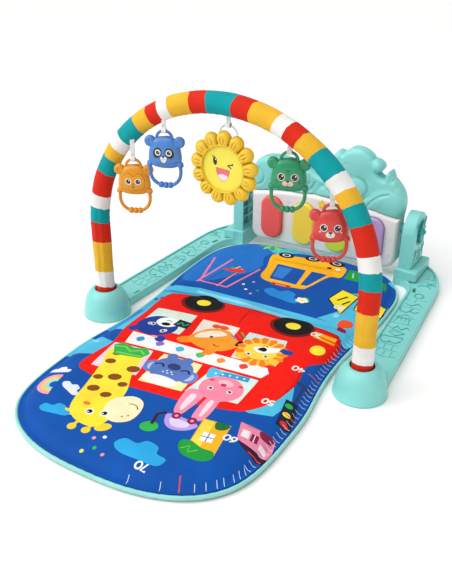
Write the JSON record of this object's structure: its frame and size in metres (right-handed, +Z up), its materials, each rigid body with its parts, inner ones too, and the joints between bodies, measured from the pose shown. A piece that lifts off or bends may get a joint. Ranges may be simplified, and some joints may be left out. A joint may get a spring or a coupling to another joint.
{
  "type": "activity play gym",
  "caption": "Baby activity gym: padded printed mat, side rails with cups, striped toy arch with hanging rattles, and a tilting kick piano on two posts.",
  "frame": {"origin": "on the floor, midway between the two feet of the arch, on the underside of the mat", "axes": "+X to the gym's right seen from its front, +Y back towards the piano, +Z up"},
  "size_m": [0.559, 0.796, 0.4192],
  "materials": {
    "mat_cloth": "printed plush polyester, soft sheen",
    "piping_cloth": "woven binding tape",
    "teal_plastic": "satin moulded polypropylene",
    "white_plastic": "satin moulded ABS",
    "striped_cloth": "striped woven polyester sleeve",
    "webbing": "white woven webbing",
    "tube_plastic": "extruded polypropylene",
    "pad_rubber": "soft thermoplastic rubber",
    "screw_steel": "zinc-plated steel",
    "key_red_plastic": "satin moulded ABS",
    "key_yellow_plastic": "satin moulded ABS",
    "key_lime_plastic": "satin moulded ABS",
    "key_purple_plastic": "satin moulded ABS",
    "board": "glass-epoxy laminate with solder mask",
    "membrane_rubber": "silicone rubber",
    "speaker_paper": "paper cone in a steel basket",
    "switch_black": "moulded",
    "battery_jacket": "printed jacket",
    "contact_steel": "nickel-plated spring steel",
    "monkey_plastic": "satin moulded plastic",
    "raccoon_plastic": "satin moulded plastic",
    "tiger_plastic": "satin moulded plastic",
    "bear_plastic": "satin moulded plastic",
    "bead_plastic": "moulded",
    "petal_plastic": "satin moulded plastic",
    "face_print": "printed disc",
    "mirror_film": "shatterproof acrylic mirror",
    "clear_plastic": "clear moulded plastic"
  },
  "bodies": {
    "frame": {"mat_pad": "mat_cloth", "mat_piping": "piping_cloth", "foot_cup_left": "teal_plastic", "foot_cup_right": "teal_plastic", "rail_left": "teal_plastic", "rail_right": "teal_plastic", "post_left": "teal_plastic", "post_right": "teal_plastic", "post_screws": "screw_steel", "grip_pads": "pad_rubber", "arch_tube_left": "tube_plastic", "arch_tube_right": "tube_plastic", "arch_joiner": "tube_plastic", "arch_sleeve": "striped_cloth"},
    "piano": {"piano_front_panel": "white_plastic", "piano_animal_cover": "teal_plastic", "piano_back_shell": "teal_plastic", "piano_screws": "screw_steel", "key_membrane": "membrane_rubber", "circuit_board": "board", "speaker": "speaker_paper", "batteries": "battery_jacket", "battery_contacts": "contact_steel", "battery_door": "teal_plastic"},
    "key_red": {"key_red": "key_red_plastic"},
    "key_yellow": {"key_yellow": "key_yellow_plastic"},
    "key_lime": {"key_lime": "key_lime_plastic"},
    "key_purple": {"key_purple": "key_purple_plastic"},
    "star_button": {"star_button": "key_yellow_plastic"},
    "power_switch": {"power_switch": "switch_black"},
    "tilt_knob_left": {"tilt_knob_left": "teal_plastic"},
    "tilt_knob_right": {"tilt_knob_right": "teal_plastic"},
    "strap_monkey": {"strap_monkey": "webbing"},
    "strap_raccoon": {"strap_raccoon": "webbing"},
    "strap_tiger": {"strap_tiger": "webbing"},
    "strap_bear": {"strap_bear": "webbing"},
    "strap_sun": {"strap_sun": "webbing"},
    "monkey": {"monkey_front_shell": "monkey_plastic", "monkey_back_shell": "monkey_plastic", "monkey_handle": "monkey_plastic", "monkey_rattle_beads": "bead_plastic"},
    "raccoon": {"raccoon_front_shell": "raccoon_plastic", "raccoon_back_shell": "raccoon_plastic", "raccoon_handle": "raccoon_plastic", "raccoon_rattle_beads": "bead_plastic"},
    "tiger": {"tiger_front_shell": "tiger_plastic", "tiger_back_shell": "tiger_plastic", "tiger_handle": "tiger_plastic", "tiger_rattle_beads": "bead_plastic"},
    "bear": {"bear_front_shell": "bear_plastic", "bear_back_shell": "bear_plastic", "bear_handle": "bear_plastic", "bear_rattle_beads": "bead_plastic"},
    "sunflower": {"sun_front_shell": "petal_plastic", "sun_back_shell": "petal_plastic", "sun_face_disc": "face_print", "sun_mirror": "mirror_film", "sun_ring": "clear_plastic"}
  },
  "joints": [
    {"name": "piano_tilt", "type": "hinge", "parent": "frame", "child": "piano", "pos_m": [0, 0.402, 0.098], "axis": [1, 0, 0], "range_deg": [-90, 15]},
    {"name": "tilt_knob_left_turn", "type": "hinge", "parent": "frame", "child": "tilt_knob_left", "pos_m": [-0.19, 0.402, 0.098], "axis": [1, 0, 0], "range_deg": [-180, 180]},
    {"name": "tilt_knob_right_turn", "type": "hinge", "parent": "frame", "child": "tilt_knob_right", "pos_m": [0.19, 0.402, 0.098], "axis": [1, 0, 0], "range_deg": [-180, 180]},
    {"name": "key_red_press", "type": "slide", "parent": "piano", "child": "key_red", "axis": [0, 1, 0], "range_m": [0, 0.003], "stiffness_N_per_m": 400, "springref_m": -0.002},
    {"name": "key_yellow_press", "type": "slide", "parent": "piano", "child": "key_yellow", "axis": [0, 1, 0], "range_m": [0, 0.003], "stiffness_N_per_m": 400, "springref_m": -0.002},
    {"name": "key_lime_press", "type": "slide", "parent": "piano", "child": "key_lime", "axis": [0, 1, 0], "range_m": [0, 0.003], "stiffness_N_per_m": 400, "springref_m": -0.002},
    {"name": "key_purple_press", "type": "slide", "parent": "piano", "child": "key_purple", "axis": [0, 1, 0], "range_m": [0, 0.003], "stiffness_N_per_m": 400, "springref_m": -0.002},
    {"name": "star_button_press", "type": "slide", "parent": "piano", "child": "star_button", "axis": [0, 1, 0], "range_m": [0, 0.0015], "stiffness_N_per_m": 300, "springref_m": -0.001},
    {"name": "power_switch_slide", "type": "slide", "parent": "piano", "child": "power_switch", "axis": [1, 0, 0], "range_m": [0, 0.01]},
    {"name": "strap_monkey_swing", "type": "hinge", "parent": "frame", "child": "strap_monkey", "pos_m": [-0.1545, -0.01, 0.32296], "axis": [0.9135, 0.4067, 0], "range_deg": [-14, 9]},
    {"name": "monkey_swing", "type": "hinge", "parent": "strap_monkey", "child": "monkey", "pos_m": [-0.1545, -0.01, 0.2988], "axis": [0.9135, 0.4067, 0], "range_deg": [-30, 6]},
    {"name": "strap_raccoon_swing", "type": "hinge", "parent": "frame", "child": "strap_raccoon", "pos_m": [-0.096, -0.008, 0.36303], "axis": [0.9511, 0.309, 0], "range_deg": [-45, 8]},
    {"name": "raccoon_swing", "type": "hinge", "parent": "strap_raccoon", "child": "raccoon", "pos_m": [-0.096, -0.008, 0.3518], "axis": [0.9511, 0.309, 0], "range_deg": [-30, 10]},
    {"name": "strap_tiger_swing", "type": "hinge", "parent": "frame", "child": "strap_tiger", "pos_m": [0.101, 0.009, 0.36116], "axis": [0.9511, 0.309, 0], "range_deg": [-12, 45]},
    {"name": "tiger_swing", "type": "hinge", "parent": "strap_tiger", "child": "tiger", "pos_m": [0.101, 0.009, 0.3473], "axis": [0.9511, 0.309, 0], "range_deg": [-10, 30]},
    {"name": "strap_bear_swing", "type": "hinge", "parent": "frame", "child": "strap_bear", "pos_m": [0.1685, 0.01, 0.30785], "axis": [0.9135, 0.4067, 0], "range_deg": [-5, 45]},
    {"name": "bear_swing", "type": "hinge", "parent": "strap_bear", "child": "bear", "pos_m": [0.1685, 0.01, 0.2838], "axis": [0.9135, 0.4067, 0], "range_deg": [-3, 30]},
    {"name": "strap_sun_swing", "type": "hinge", "parent": "frame", "child": "strap_sun", "pos_m": [0.009, 0, 0.3839], "axis": [1, 0, 0], "range_deg": [-45, 45]},
    {"name": "sunflower_swing", "type": "hinge", "parent": "strap_sun", "child": "sunflower", "pos_m": [0.009, 0, 0.3738], "axis": [1, 0, 0], "range_deg": [-30, 30]}
  ]
}
